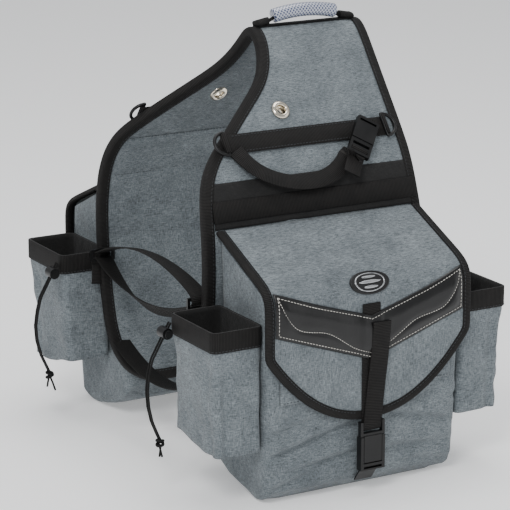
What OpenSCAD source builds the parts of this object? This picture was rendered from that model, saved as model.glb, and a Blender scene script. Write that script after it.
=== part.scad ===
// Pair of saddle bags for trail riding: a padded yoke lies over the horse's back
// and carries one flap-top pouch on each side. +Z up, X along the horse, millimetres.
// Each piece is drawn once for the far (+Y) half and mirrored for the near (-Y) half.

/* [Yoke] */
// outer height of the ridge line above the ground
ridge_z = 540; // [480:5:600]
// padded panel thickness
panel_t = 10; // [6:1:14]
// visible width of the edge binding
bind_w = 13; // [10:1:18]
// straight rear edge of the yoke, measured from the pouch centre line
rear_x = 148; // [146:1:156]
// front end of the ridge, where the yoke is cut away for the saddle's cantle
ridge_front_x = -13; // [-30:1:0]
// half width of the panel behind the pouch
panel_half = 160; // [156:1:170]

/* [Pouch] */
// half width of the pouch at its mouth
pouch_top_half = 144; // [140:1:150]
// half width of the pouch at its base
pouch_base_half = 136; // [130:1:140]
// fabric wall thickness
wall = 3; // [2:0.5:5]
// how far the front corners are rounded
corner_r = 14; // [6:1:20]

/* [Flap] */
// half width of the flap
flap_half = 146; // [145:1:152]
// padded flap thickness
flap_t = 5; // [3:0.5:6]
// height of the flap's lower edge at the centre
flap_mid_z = 98; // [90:1:130]
// height of the flap's lower edge at the sides
flap_side_z = 190; // [150:1:200]

/* [Side pockets] */
// how far a side pocket stands out from the pouch
pocket_out = 67; // [40:1:80]
// height of the pocket mouth
pocket_top = 232; // [200:1:245]
// height of the pocket base
pocket_base = 74; // [60:1:110]

/* [Hardware] */
// webbing width (one inch)
web = 25.4; // [20:0.1:30]
// webbing thickness
web_t = 1.6; // [1:0.1:2]
// eyelet bore radius
eyelet_r = 6; // [4:0.5:8]
// D-ring wire radius
ring_wire = 2.2; // [1.5:0.1:3]
// drawcord radius
cord_r = 1.3; // [1:0.1:2]

/* [Hidden] */
$fn = 40;

fabric = [0.43, 0.48, 0.52];
black = [0.10, 0.10, 0.10];
steel = [0.78, 0.74, 0.66];
gap = 0.3;
big = 700;

// outer surface of one yoke half, as [y, z] from the ridge down to the hem
prof = [[18, 532], [30, 518.5], [60, 479], [118, 404], [130, 381], [140, 353],
  [147, 322], [150, 292], [150, 260], [147, 226], [141, 186], [131, 145],
  [118, 110], [103, 78], [94, 60]];
ridge_prof = [[-17.4, 532.4], [-8, 538.4], [0, 540], [8, 538.4], [17.4, 532.4]];
// the long straight slope that carries the eyelet and the keeper strap
slope_at = [60, 479];
slope_a = atan2(75, 58);

// outline of a yoke half seen along Y, as [x, z]
outline = concat([[ridge_front_x, 560], [ridge_front_x - 1, 525], [ridge_front_x - 6, 508],
  [ridge_front_x - 15, 492], [-40, 480], [-53, 470], [-82, 448], [-113, 424], [-135, 406],
  [-148, 388], [-155, 368], [-159, 340], [-panel_half, 300], [-panel_half, 130],
  [-156, 102], [-146, 80], [-128, 66], [-105, 58], [105, 58], [128, 66], [146, 80],
  [154, 102], [156, 130], [155, 300], [151, 340], [rear_x, 400], [rear_x, 560]]);

// side view of the pouch, as [y, z], from the mouth at the back round to the mouth's front
pouch_yz = [[151.5, 316], [152, 292], [152, 260], [149, 226], [143, 186], [133, 145],
  [120, 110], [108, 82], [104, 64], [107, 46], [119, 33], [150, 18], [190, 8],
  [222, 0], [238, 0], [249, 4], [256, 14], [259, 40], [261, 100], [261.5, 170],
  [261, 230], [258, 266]];

// inner line of the flap, as [y, z], from its hinge over the top and down the front
flap_yz = [[150.5, 320], [205, 296.5], [246, 279], [257, 272.5], [264, 265], [267, 256],
  [267.5, 246], [267.5, 80]];

function unit(v) = v / norm(v);
function tang(p, i) = unit(p[min(i + 1, len(p) - 1)] - p[max(i - 1, 0)]);
// left-hand normal of an open line
function nrm(p, i) = let (t = tang(p, i)) [-t[1], t[0]];
function shifted(p, d) = [for (i = [0:len(p) - 1]) p[i] + d * nrm(p, i)];
function rev(p) = [for (i = [len(p) - 1:-1:0]) p[i]];
// a strip between two offsets of an open line
function strip(p, a, b) = concat(shifted(p, a), rev(shifted(p, b)));
// a closed outline moved inwards by d (points run anticlockwise for positive d)
function inset(p, d) = let (n = len(p)) [for (i = [0:n - 1])
  let (a = unit(p[i] - p[(i + n - 1) % n]), b = unit(p[(i + 1) % n] - p[i]),
       m = unit(a + b), c = max(0.5, a * m)) p[i] + d / c * [-m[1], m[0]]];

module half(far) { if (far) children(); else mirror([0, 1, 0]) children(); }
// a [y, z] shape pulled along X
module along_x(x0, x1) {
  translate([x0, 0, 0]) rotate([90, 0, 90]) linear_extrude(x1 - x0) children();
}
// an [x, z] shape pulled along Y, from y0 to y1
module along_y(y0, y1) {
  translate([0, y1, 0]) rotate([90, 0, 0]) linear_extrude(y1 - y0) children();
}
// an [x, z] shape laid on the yoke between two heights above its outer surface
module on_yoke(a, b) {
  intersection() {
    along_x(-200, 200) polygon(strip(prof, a, b));
    along_y(1, 220) children();
  }
}
// local frame on the straight slope: X as is, Y down the slope, Z outwards
module on_slope(x, d) {
  translate([x, slope_at[0] + d * cos(slope_a), slope_at[1] - d * sin(slope_a)])
    rotate([-slope_a, 0, 0]) children();
}
module rod(pts, r, n = 10) {
  for (i = [0:len(pts) - 2]) hull() {
    translate(pts[i]) sphere(r = r, $fn = n);
    translate(pts[i + 1]) sphere(r = r, $fn = n);
  }
}
module slab(x0, x1, y0, y1, z0, z1) {
  translate([x0, y0, z0]) cube([x1 - x0, y1 - y0, z1 - z0]);
}

// ---- yoke ----
module panel_blank(a, b, in) { on_yoke(a, b) polygon(inset(outline, in)); }
module panel(far) color(fabric) half(far) difference() {
  panel_blank(-panel_t, 0, 2);
  on_slope(-16, 38) cylinder(r = 8.8, h = 60, center = true);
}
module panel_binding(far) color(black) half(far) difference() {
  panel_blank(-panel_t - 1, 1, 0);
  panel_blank(-panel_t - 5, 5, bind_w);
  panel_blank(-panel_t - 0.02, 0.02, 1.98);
}
module eyelet(far) color(steel) half(far) on_slope(-16, 38) {
  difference() {
    union() {
      translate([0, 0, -panel_t - 1.6]) cylinder(r = 8.4, h = panel_t + 3.2);
      translate([0, 0, 0.1]) cylinder(r = 12.5, h = 1.5);
      translate([0, 0, -panel_t - 1.6]) cylinder(r = 12.5, h = 1.5);
    }
    cylinder(r = eyelet_r, h = 60, center = true);
  }
}
ring_x = [-110, 120];
module keeper_strap(far) color(black) half(far) on_slope(0, 77) {
  difference() {
    union() {
      slab(ring_x[0], ring_x[1], -13.5, 13.5, 1.3, 1.3 + web_t);
      for (x = ring_x) translate([x, 11.5, 5.6]) rotate([90, 0, 0]) cylinder(r = 4.3, h = 23);
    }
    for (x = ring_x) translate([x, 20, 5.6]) rotate([90, 0, 0]) cylinder(r = 2.7, h = 40);
  }
}
module d_ring(far, x, s) color(black) half(far) on_slope(x, 77) translate([0, 0, 5.6]) {
  translate([0, 15, 0]) rotate([90, 0, 0]) cylinder(r = ring_wire, h = 30);
  rotate([0, 0, s > 0 ? -90 : 90]) rotate_extrude(angle = 180)
    translate([15, 0]) circle(r = ring_wire);
  for (y = [-15, 15]) translate([0, y, 0]) sphere(r = ring_wire);
}
module shoulder_band(far) color(black) half(far) {
  on_yoke(0.05, 1.6) intersection() {
    polygon([[-145, 331], [144, 331], [144, 378], [-141, 378]]);
    polygon(inset(outline, bind_w + 0.2));
  }
}
// hanging tie-down strap: centre line in [x, z]
cargo_line = [[-99, 410], [-90, 396], [-72, 381], [-42, 369], [-8, 365], [22, 370],
  [42, 380], [54, 392]];
module cargo_strap(far) color(black) half(far)
  on_yoke(3.4, 3.4 + web_t) polygon(strip(cargo_line, -10, 10));
// direction of the tie-down buckle in the slope's plane
buckle_a = -54;
module cargo_frame() { on_slope(66, 112) rotate([0, 0, buckle_a]) children(); }
module cargo_buckle_male(far) color(black) half(far) cargo_frame() {
  // ladder frame, then the tongue and two sprung arms, one moulding
  difference() {
    slab(-4, 17, -15, 15, 6, 12.5);
    slab(-0.5, 5, -11.5, 11.5, 0, 20);
    slab(8, 12, -11.5, 11.5, 0, 20);
  }
  slab(16, 40, -2, 2, 7.5, 11);
  for (s = [-1, 1]) slab(16, 38, s * 9 - 2, s * 9 + 2, 7.5, 11);
}
module cargo_buckle_female(far) color(black) half(far) cargo_frame() difference() {
  slab(17.6, 50, -15, 15, 5, 13.5);
  slab(10, 42, -12, 12, 6.8, 11.7);
  slab(44.2, 47.4, -11.5, 11.5, 0, 20);
}

// ---- pouch ----
module pouch_blank(d, lift) {
  intersection() {
    along_x(-220, 220) polygon(inset(concat(pouch_yz, lift ? [[270, 360], [150, 360]] : []), d));
    along_y(40, 300) polygon([[-pouch_base_half + d, -5], [pouch_base_half - d, -5],
      [pouch_top_half - d, 370], [-pouch_top_half + d, 370]]);
    hull() for (s = [-1, 1]) {
      translate([s * (146 - d - corner_r), 262 - d - corner_r, -10]) cylinder(r = corner_r, h = 400);
      translate([s * (146 - d) - (s > 0 ? 1 : 0), 60, -10]) cube([1, 1, 400]);
    }
  }
}
module pouch(far) color(fabric) half(far) difference() {
  pouch_blank(0, false);
  intersection() {
    pouch_blank(wall, true);
    along_x(-220, 220) polygon(concat([for (p = inset(pouch_yz, wall)) p],
      [[256, 300], [225, 340], [154.8, 340]]));
  }
}
module front_pocket(far) color(fabric) half(far)
  along_y(262, 263.6) polygon([[-122, 130], [122, 130], [122, 222], [-122, 222]]);

// ---- side pockets (left is towards the front of the horse) ----
// the pockets start just clear of the yoke's lower panel
pocket_back = 151.5;
module pocket_shape(s, d) {
  // plan view: straight sides, rounded outer corners
  r = 9;
  hull() {
    for (y = [pocket_back + d + r, 257 - d - r])
      translate([s * (143 + pocket_out - d - r), y, 0]) cylinder(r = r, h = 300);
    translate([s * 120 - 1, pocket_back + d, 0]) cube([2, 257 - pocket_back - 2 * d, 300]);
  }
}
module pouch_sides(g) along_y(40, 300) polygon([[-pouch_base_half - g, -5],
  [pouch_base_half + g, -5], [pouch_top_half + g, 370], [-pouch_top_half - g, 370]]);
module side_pocket(far, s) color(fabric) half(far) difference() {
  intersection() {
    pocket_shape(s, 0);
    slab(-230, 230, 100, 300, pocket_base, pocket_top);
  }
  intersection() {
    pocket_shape(s, 2.5);
    slab(-230, 230, 100, 300, pocket_base + 3, 400);
  }
  pouch_sides(gap);
}
module pocket_band(far, s) color(black) half(far) difference() {
  intersection() {
    pocket_shape(s, -1.6);
    slab(-230, 230, 100, 300, pocket_top - web, pocket_top + 1);
  }
  pocket_shape(s, -0.05);
  pouch_sides(gap);
}

// ---- flap ----
function flap_edge(x) = flap_mid_z + (flap_side_z - flap_mid_z) * pow(abs(x) / flap_half, 2.2);
function flap_face(w, drop) = concat([for (x = [-w:w / 10:w]) [x, flap_edge(x) + drop]],
  [[w, 340], [-w, 340]]);
module flap_blank(a, b, w, drop) {
  intersection() {
    along_x(-200, 200) polygon(strip(flap_yz, a, b));
    along_y(100, 300) polygon(flap_face(w, drop));
  }
}
module flap(far) color(fabric) half(far) flap_blank(0.3, flap_t - 0.3, flap_half - 2, 2);
module flap_binding(far) color(black) half(far) difference() {
  flap_blank(0, flap_t, flap_half, 0);
  difference() {
    flap_blank(-5, flap_t + 5, flap_half - 10, 10);
    slab(-200, 200, 100, 300, 330, 400);
  }
  flap_blank(0.28, flap_t - 0.28, flap_half - 1.98, 1.98);
}
front_y = 267.5 + flap_t;
module flap_chevron(far) color(black) half(far) difference() {
  along_y(front_y + 0.1, front_y + 2.6) polygon([[-134, 219], [0, 173], [134, 219],
    [134, 252], [75, 252], [0, 229], [-75, 252], [-134, 252]]);
  slab(-web / 2 - 0.3, web / 2 + 0.3, 270, front_y + 2, 100, 250);
}
module flap_badge(far) color(black) half(far)
  translate([0, front_y - 6.8, 268]) rotate([-52, 0, 0]) translate([0, 0, 2.1])
    scale([27.5, 12.5, 1]) cylinder(r = 1, h = 2.5, $fn = 48);
module flap_strap(far) color(black) half(far) difference() {
  union() {
    slab(-web / 2, web / 2, front_y + 0.15, front_y + 0.15 + web_t, 88, 244);
    slab(-web / 2, web / 2, front_y + 3, front_y + 3 + web_t, 92, 220);
    translate([0, front_y + 3.3, 88]) rotate([0, 90, 0])
      cylinder(r = 4.1, h = web, center = true);
  }
  translate([0, front_y + 3.3, 88]) rotate([0, 90, 0]) cylinder(r = 2.5, h = 60, center = true);
  slab(-40, 40, front_y + 0.15 + web_t, front_y + 3, 88, 100);
}
mid_y = front_y + 3.3;
module flap_buckle_male(far) color(black) half(far) {
  // ladder bar in its frame, tongue, and two sprung arms, one moulding
  translate([0, mid_y, 88]) rotate([0, 90, 0]) cylinder(r = 2, h = 34, center = true);
  for (s = [-1, 1]) slab(s * 15.4 - 1.8, s * 15.4 + 1.8, mid_y - 2.6, mid_y + 4, 77.5, 96);
  slab(-17.2, 17.2, mid_y - 2.6, mid_y + 4, 77.5, 81.5);
  slab(-3, 3, mid_y - 2, mid_y + 3.4, 46, 78);
  for (s = [-1, 1]) slab(s * 10 - 2, s * 10 + 2, mid_y - 2, mid_y + 3.4, 48, 78);
  slab(-12.6, 12.6, mid_y + 3.2, mid_y + 5, 44, 78);
}
module flap_buckle_female(far) color(black) half(far) {
  difference() {
    slab(-17.2, 17.2, mid_y - 5, mid_y + 5, 34, 76.8);
    slab(-13.2, 13.2, mid_y - 3.2, mid_y + 9, 42.5, 90);
    slab(-12.9, 12.9, mid_y - 9, mid_y + 9, 36, 39);
  }
  // short webbing anchor sewn to the pouch's lower front edge
  along_x(-12.5, 12.5) polygon([[mid_y - 1, 36.4], [mid_y + 1, 36.4], [mid_y + 1, 38.6],
    [mid_y - 1.6, 38.6], [257.4, 16.5], [258, 14.6]]);
}

// ---- side pocket drawcord: both strands run down from an outlet in the band ----
cord_out = [-214, 157, 222];
cord_dir = [-0.5, 0, -0.866];
function cord_pts(o) = [for (p = [[0, 0, 0], cord_dir * 18, cord_dir * 36, cord_dir * 50,
  [-30, 0, -62], [-32.5, 1, -82], [-31, 1, -102], [-26, 0, -122], [-19, -1, -138],
  [-15, -1, -147]]) cord_out + p + [0, o, 0]];
module drawcord(far) color(black) half(far) {
  rod(cord_pts(-2.6), cord_r);
  rod(cord_pts(2.6), cord_r);
  // overhand knot and two short tails
  translate(cord_out + [-14.5, -1, -151]) sphere(r = 6, $fn = 16);
  rod([cord_out + [-14.5, -3, -154], cord_out + [-12, -5, -162], cord_out + [-9, -6, -172]], cord_r);
  rod([cord_out + [-14.5, 1, -154], cord_out + [-16, 2, -162], cord_out + [-17, 2, -168]], cord_r);
}
module lock_frame() { translate(cord_out + cord_dir * 14) rotate([0, 30, 0]) children(); }
module cord_lock(far) color(black) half(far) lock_frame() difference() {
  rotate([-90, 0, 0]) translate([0, 0, -8]) cylinder(r = 7, h = 16);
  rotate([-90, 0, 0]) translate([0, 0, -5.8]) cylinder(r = 5.2, h = 30);
  slab(-1.8, 1.8, -4.6, 4.6, -20, 20);
}
module cord_button(far) color(black) half(far) lock_frame() difference() {
  rotate([-90, 0, 0]) translate([0, 0, -2.6]) cylinder(r = 4.9, h = 14.6);
  slab(-1.9, 1.9, -7.6, 7.6, -20, 20);
}

// ---- pieces that join the halves ----
module yoke_ridge() color(fabric)
  along_x(ridge_front_x, rear_x) polygon([[-17.4, 532.4], [-8, 538.4], [0, 540], [8, 538.4],
    [17.4, 532.4], [9.9, 525.8], [0, 530], [-9.9, 525.8]]);
grip_mid = 67;
grip_half = 58;
module handle_anchor() color(black) difference() {
  union() {
    along_x(grip_mid - grip_half - 14, grip_mid + grip_half + 14)
      polygon([[-5, 540.3], [5, 540.3], [5, 541.9], [-5, 541.9]]);
    for (s = [-1, 1]) translate([grip_mid + s * (grip_half + 5), 0, 545])
      rotate([0, 90, 0]) cylinder(r = 4, h = 12, center = true);
  }
  translate([0, 0, 545]) rotate([0, 90, 0]) cylinder(r = 2.6, h = 600, center = true);
}
grip_line = [for (x = [-36:9:36]) [grip_mid + x, 0, 554 + 3.2 * (1 - pow(x / 36, 2))]];
module handle_strap() color(black) {
  rod(concat([[grip_mid - grip_half - 9, 0, 545], [grip_mid - grip_half + 3, 0, 545]],
    [[grip_mid - 42, 0, 551]], [for (p = grip_line) p], [[grip_mid + 42, 0, 551]],
    [[grip_mid + grip_half - 3, 0, 545], [grip_mid + grip_half + 9, 0, 545]]), 2.3);
}
module handle_tube() color([0.5, 0.55, 0.62]) difference() {
  rod(grip_line, 9, 20);
  rod(concat([[grip_mid - grip_half + 3, 0, 545], [grip_mid - 42, 0, 551]], grip_line,
    [[grip_mid + 42, 0, 551], [grip_mid + grip_half - 3, 0, 545]]), 2.8);
}
// a slack webbing run between the two halves, seen along X: half span, height, sag
function slung(w, z, sag) = [for (y = [-w:w / 8:w]) [y, z - sag * (1 - pow(y / w, 2))]];
module girth_strap_upper() color(black)
  along_x(-172, -172 + web) polygon(strip(slung(128, 231, 46), 0, web_t));
module girth_strap_lower() color(black)
  along_x(-158, -158 + web) polygon(strip(slung(108, 118, 26), 0, web_t));
module girth_ring(far) color(black) half(far) difference() {
  slab(-177, -142, 131, 134.5, 224, 240);
  slab(-173.5, -145.5, 120, 160, 228.2, 236);
}

// ---- one line per node ----
yoke_ridge();
handle_anchor();
handle_strap();
handle_tube();
girth_strap_upper();
girth_strap_lower();
girth_ring(false);  // girth_ring_near
girth_ring(true);  // girth_ring_far
panel(false);  // near_panel
panel_binding(false);  // near_panel_binding
eyelet(false);  // near_eyelet
keeper_strap(false);  // near_keeper_strap
d_ring(false, ring_x[0], -1);  // near_d_ring_left
d_ring(false, ring_x[1], 1);  // near_d_ring_right
cargo_strap(false);  // near_cargo_strap
cargo_buckle_male(false);  // near_cargo_buckle_male
cargo_buckle_female(false);  // near_cargo_buckle_female
shoulder_band(false);  // near_shoulder_band
pouch(false);  // near_pouch
front_pocket(false);  // near_front_pocket
flap(false);  // near_flap
flap_binding(false);  // near_flap_binding
flap_chevron(false);  // near_flap_chevron
flap_badge(false);  // near_flap_badge
flap_strap(false);  // near_flap_strap
flap_buckle_male(false);  // near_flap_buckle_male
flap_buckle_female(false);  // near_flap_buckle_female
side_pocket(false, -1);  // near_side_pocket_left
side_pocket(false, 1);  // near_side_pocket_right
pocket_band(false, -1);  // near_pocket_band_left
pocket_band(false, 1);  // near_pocket_band_right
drawcord(false);  // near_drawcord
cord_lock(false);  // near_cord_lock
cord_button(false);  // near_cord_button
panel(true);  // far_panel
panel_binding(true);  // far_panel_binding
eyelet(true);  // far_eyelet
keeper_strap(true);  // far_keeper_strap
d_ring(true, ring_x[0], -1);  // far_d_ring_left
d_ring(true, ring_x[1], 1);  // far_d_ring_right
cargo_strap(true);  // far_cargo_strap
cargo_buckle_male(true);  // far_cargo_buckle_male
cargo_buckle_female(true);  // far_cargo_buckle_female
shoulder_band(true);  // far_shoulder_band
pouch(true);  // far_pouch
front_pocket(true);  // far_front_pocket
flap(true);  // far_flap
flap_binding(true);  // far_flap_binding
flap_chevron(true);  // far_flap_chevron
flap_badge(true);  // far_flap_badge
flap_strap(true);  // far_flap_strap
flap_buckle_male(true);  // far_flap_buckle_male
flap_buckle_female(true);  // far_flap_buckle_female
side_pocket(true, -1);  // far_side_pocket_left
side_pocket(true, 1);  // far_side_pocket_right
pocket_band(true, -1);  // far_pocket_band_left
pocket_band(true, 1);  // far_pocket_band_right
drawcord(true);  // far_drawcord
cord_lock(true);  // far_cord_lock
cord_button(true);  // far_cord_button
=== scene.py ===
# Pair of trail-riding saddle bags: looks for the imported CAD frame.
# Shapes are made in far-half (+Y) millimetres and mirrored for the near half.
import math
import bpy
import bmesh
from mathutils import Matrix, Vector, noise


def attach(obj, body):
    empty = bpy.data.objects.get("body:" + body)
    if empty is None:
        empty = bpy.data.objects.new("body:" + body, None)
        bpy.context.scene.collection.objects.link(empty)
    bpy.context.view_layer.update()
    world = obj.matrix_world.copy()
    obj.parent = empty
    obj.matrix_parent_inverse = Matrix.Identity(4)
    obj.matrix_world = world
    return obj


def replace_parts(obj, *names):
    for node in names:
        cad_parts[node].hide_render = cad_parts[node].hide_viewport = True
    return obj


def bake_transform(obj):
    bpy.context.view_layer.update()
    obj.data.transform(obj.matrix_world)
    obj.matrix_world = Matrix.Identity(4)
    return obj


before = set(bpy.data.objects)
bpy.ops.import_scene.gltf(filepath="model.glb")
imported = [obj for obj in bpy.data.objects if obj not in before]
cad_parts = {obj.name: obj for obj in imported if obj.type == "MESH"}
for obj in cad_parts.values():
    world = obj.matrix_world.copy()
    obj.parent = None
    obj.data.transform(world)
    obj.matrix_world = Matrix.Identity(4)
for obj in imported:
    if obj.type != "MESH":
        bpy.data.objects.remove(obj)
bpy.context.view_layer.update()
MM = 0.001
INCH = 25.4
WEB_T = 1.6
EX = Vector((1, 0, 0))

# ------------------------------------------------------------------ camera
AZ, EL = math.radians(-30), math.radians(15)
CAM_DISTANCE, CAM_LENS, CAM_SENSOR = 3.2, 174.5, 36
back = Vector((math.sin(AZ) * math.cos(EL), -math.cos(AZ) * math.cos(EL), math.sin(EL)))
right = Vector((math.cos(AZ), math.sin(AZ), 0))
cam_up = back.cross(right)
cam_data = bpy.data.cameras.new("camera")
cam_data.sensor_width = CAM_SENSOR
cam_data.lens = CAM_LENS
cam = bpy.data.objects.new("camera", cam_data)
bpy.context.scene.collection.objects.link(cam)
aim = Vector((0, 0, 0.28)) - right * 0.004 - cam_up * 0.038
cam_turn = Matrix((right, cam_up, back)).transposed().to_4x4()
cam.matrix_world = Matrix.Translation(aim + back * CAM_DISTANCE) @ cam_turn
bpy.context.scene.camera = cam


# --------------------------------------------------------------- materials
def new_mat(name, color, rough):
    mat = bpy.data.materials.new(name)
    mat.use_nodes = True
    shader = mat.node_tree.nodes["Principled BSDF"]
    shader.inputs["Base Color"].default_value = (*color, 1)
    shader.inputs["Roughness"].default_value = rough
    return mat, mat.node_tree, shader


def add(tree, kind, **values):
    node = tree.nodes.new(kind)
    for key, value in values.items():
        if hasattr(node, key):
            setattr(node, key, value)
        else:
            node.inputs[key.replace("_", " ")].default_value = value
    return node


def coords(tree, out="Object", scale=(1, 1, 1), turn=(0, 0, 0)):
    tex = tree.nodes.new("ShaderNodeTexCoord")
    mapping = tree.nodes.new("ShaderNodeMapping")
    mapping.inputs["Scale"].default_value = scale
    mapping.inputs["Rotation"].default_value = turn
    tree.links.new(tex.outputs[out], mapping.inputs["Vector"])
    return mapping.outputs["Vector"]


def tex_noise(tree, vector, scale, detail=3.0, rough=0.6):
    node = add(tree, "ShaderNodeTexNoise", Scale=scale, Detail=detail, Roughness=rough)
    tree.links.new(vector, node.inputs["Vector"])
    return node.outputs["Fac"]


def ramp(tree, fac, stops):
    node = tree.nodes.new("ShaderNodeValToRGB")
    for i, (pos, col) in enumerate(stops):
        elem = node.color_ramp.elements[i] if i < 2 else node.color_ramp.elements.new(pos)
        elem.position = pos
        elem.color = (*col, 1) if len(col) == 3 else col
    tree.links.new(fac, node.inputs["Fac"])
    return node.outputs["Color"]


def bump(tree, shader, *layers):
    """layers of (height socket, strength, distance), stacked."""
    normal = None
    for height, strength, distance in layers:
        node = add(tree, "ShaderNodeBump", Strength=strength, Distance=distance)
        tree.links.new(height, node.inputs["Height"])
        if normal:
            tree.links.new(normal, node.inputs["Normal"])
        normal = node.outputs["Normal"]
    tree.links.new(normal, shader.inputs["Normal"])


def mix(tree, fac, a, b, blend="MIX"):
    node = tree.nodes.new("ShaderNodeMix")
    node.data_type = "RGBA"
    node.blend_type = blend
    if isinstance(fac, float):
        node.inputs[0].default_value = fac
    else:
        tree.links.new(fac, node.inputs[0])
    for i, value in ((6, a), (7, b)):
        if isinstance(value, tuple):
            node.inputs[i].default_value = (*value, 1)
        else:
            tree.links.new(value, node.inputs[i])
    return node.outputs[2]


def heather(name, dark, light, rough=0.86):
    """Woven polyester with mixed light and dark yarns."""
    mat, t, shader = new_mat(name, light, rough)
    obj = coords(t)
    yarn = tex_noise(t, coords(t, scale=(1.9, 1.9, 0.22)), 800, 2, 0.65)
    slub = tex_noise(t, coords(t, scale=(0.22, 0.22, 1.9)), 800, 2, 0.65)
    broad = tex_noise(t, obj, 9, 3, 0.5)
    both = mix(t, 0.5, yarn, slub)
    speck = ramp(t, both, [(0.36, dark), (0.64, light)])
    tone = ramp(t, broad, [(0.3, (0.88, 0.885, 0.89)), (0.7, (1.07, 1.07, 1.06))])
    wear = tex_noise(t, obj, 30, 4, 0.6)
    rubbed = ramp(t, wear, [(0.32, (0.80, 0.81, 0.82)), (0.62, (1.08, 1.08, 1.08))])
    cloth = mix(t, 1.0, speck, tone, "MULTIPLY")
    t.links.new(mix(t, 1.0, cloth, rubbed, "MULTIPLY"), shader.inputs["Base Color"])
    cells = add(t, "ShaderNodeTexVoronoi", Scale=1050.0)
    t.links.new(obj, cells.inputs["Vector"])
    creases = tex_noise(t, obj, 38, 4, 0.62)
    bump(t, shader, (creases, 0.7, 0.004), (cells.outputs["Distance"], 0.4, 0.0004))
    shader.inputs["Sheen Weight"].default_value = 0.1
    shader.inputs["Sheen Roughness"].default_value = 0.5
    shader.inputs["Specular IOR Level"].default_value = 0.3
    return mat


def webbing_mat(name, color, ribs, rough=0.72, across=False):
    """Flat woven tape: ribs run along or across the UV's length; its colour has painted shade between the
    ribs and a painted highlight on their tops.
    """
    mat, t, shader = new_mat(name, color, rough)
    uv = coords(t, "UV")
    wave = add(t, "ShaderNodeTexWave", Scale=ribs, Distortion=0.0)
    wave.bands_direction = "X" if across else "Y"
    t.links.new(uv, wave.inputs["Vector"])
    fine = add(t, "ShaderNodeTexWave", Scale=ribs * 1.9, Distortion=0.6)
    fine.bands_direction = "DIAGONAL"
    t.links.new(uv, fine.inputs["Vector"])
    dust = tex_noise(t, coords(t), 60, 4, 0.6)
    # rib colour is painted light: painted shade in the grooves (a quarter of the base colour) and a painted
    # highlight on the rib tops, lighter and warmer than the base
    rib_highlight_colour = tuple(c * 2.6 + b for c, b in zip(color, (0.0052, 0.0044, 0.0042)))
    painted_rib_shading = ramp(t, wave.outputs["Fac"], [(0.25, tuple(c * 0.25 for c in color)), (0.95, rib_highlight_colour)])
    worn = ramp(t, dust, [(0.35, (0.8, 0.8, 0.8)), (0.75, (1.25, 1.22, 1.18))])
    t.links.new(mix(t, 1.0, painted_rib_shading, worn, "MULTIPLY"), shader.inputs["Base Color"])
    bump(t, shader, (wave.outputs["Fac"], 0.9, 0.0006), (fine.outputs["Fac"], 0.3, 0.0002))
    shader.inputs["Specular IOR Level"].default_value = 0.25
    return mat


def solid_mat(name, color, rough, grain=0.08, scale=700, metallic=0.0, coat=0.0):
    mat, t, shader = new_mat(name, color, rough)
    obj = coords(t)
    fine, wear = tex_noise(t, obj, scale, 3), tex_noise(t, obj, 35, 4)
    lo, hi = tuple(c * 0.8 for c in color), tuple(min(1, c * 1.25) for c in color)
    t.links.new(ramp(t, wear, [(0.35, lo), (0.7, hi)]), shader.inputs["Base Color"])
    t.links.new(ramp(t, wear, [(0.3, (rough * 0.8,) * 3), (0.75, (min(1, rough * 1.25),) * 3)]),
                shader.inputs["Roughness"])
    bump(t, shader, (fine, grain, 0.0003))
    shader.inputs["Metallic"].default_value = metallic
    shader.inputs["Specular IOR Level"].default_value = 0.35
    shader.inputs["Coat Weight"].default_value = coat
    return mat


def leather_mat():
    mat, t, shader = new_mat("leatherette", (0.0035, 0.0035, 0.0037), 0.36)
    obj = coords(t)
    grain = add(t, "ShaderNodeTexVoronoi", Scale=620.0)
    t.links.new(obj, grain.inputs["Vector"])
    folds, tone = tex_noise(t, obj, 55, 4), tex_noise(t, obj, 18, 3)
    t.links.new(ramp(t, tone, [(0.3, (0.0022, 0.0022, 0.0024)), (0.7, (0.005, 0.005, 0.0053))]),
                shader.inputs["Base Color"])
    bump(t, shader, (folds, 0.35, 0.0015), (grain.outputs["Distance"], 0.25, 0.0003))
    shader.inputs["Specular IOR Level"].default_value = 0.42
    return mat


def diamond_mat():
    """White net over navy under a clear tube; UV is in metres."""
    mat, t, shader = new_mat("handle_mesh", (0.02, 0.03, 0.08), 0.3)
    nets = []
    for turn in (0.72, -0.72):
        wave = add(t, "ShaderNodeTexWave", Scale=88.0, Distortion=0.0)
        wave.bands_direction = "X"
        t.links.new(coords(t, "UV", turn=(0, 0, turn)), wave.inputs["Vector"])
        nets.append(ramp(t, wave.outputs["Fac"], [(0.62, (0, 0, 0)), (0.88, (1, 1, 1))]))
    net = mix(t, 1.0, nets[0], nets[1], "LIGHTEN")
    t.links.new(mix(t, net, (0.030, 0.042, 0.125), (0.50, 0.53, 0.60)), shader.inputs["Base Color"])
    bump(t, shader, (net, 0.2, 0.0004))
    shader.inputs["Coat Weight"].default_value = 1.0
    shader.inputs["Coat Roughness"].default_value = 0.06
    return mat


M = {
    "bag_fabric": heather("bag_fabric", (0.050, 0.060, 0.066), (0.245, 0.277, 0.296)),
    "black_fabric": heather("black_fabric", (0.006, 0.006, 0.0062), (0.017, 0.0165, 0.016)),
    "binding": webbing_mat("binding", (0.0060, 0.0057, 0.0055), 175, across=True),
    "webbing": webbing_mat("webbing", (0.0046, 0.0043, 0.0041), 160, across=True),
    "leatherette": leather_mat(),
    "badge": solid_mat("badge", (0.009, 0.009, 0.0095), 0.42, 0.2, 900),
    "badge_face": solid_mat("badge_face", (0.42, 0.43, 0.44), 0.3, 0.15, 500, 0.85),
    "buckle_plastic": solid_mat("buckle_plastic", (0.0045, 0.0045, 0.0047), 0.4, 0.12),
    "eyelet_metal": solid_mat("eyelet_metal", (0.72, 0.66, 0.55), 0.2, 0.04, 300, 1.0),
    "handle_grip": diamond_mat(),
    "cord": webbing_mat("cord", (0.009, 0.009, 0.009), 420),
    "thread_light": solid_mat("thread_light", (0.62, 0.60, 0.55), 0.7, 0.2),
    "thread_dark": solid_mat("thread_dark", (0.05, 0.055, 0.06), 0.7, 0.2),
}


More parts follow.
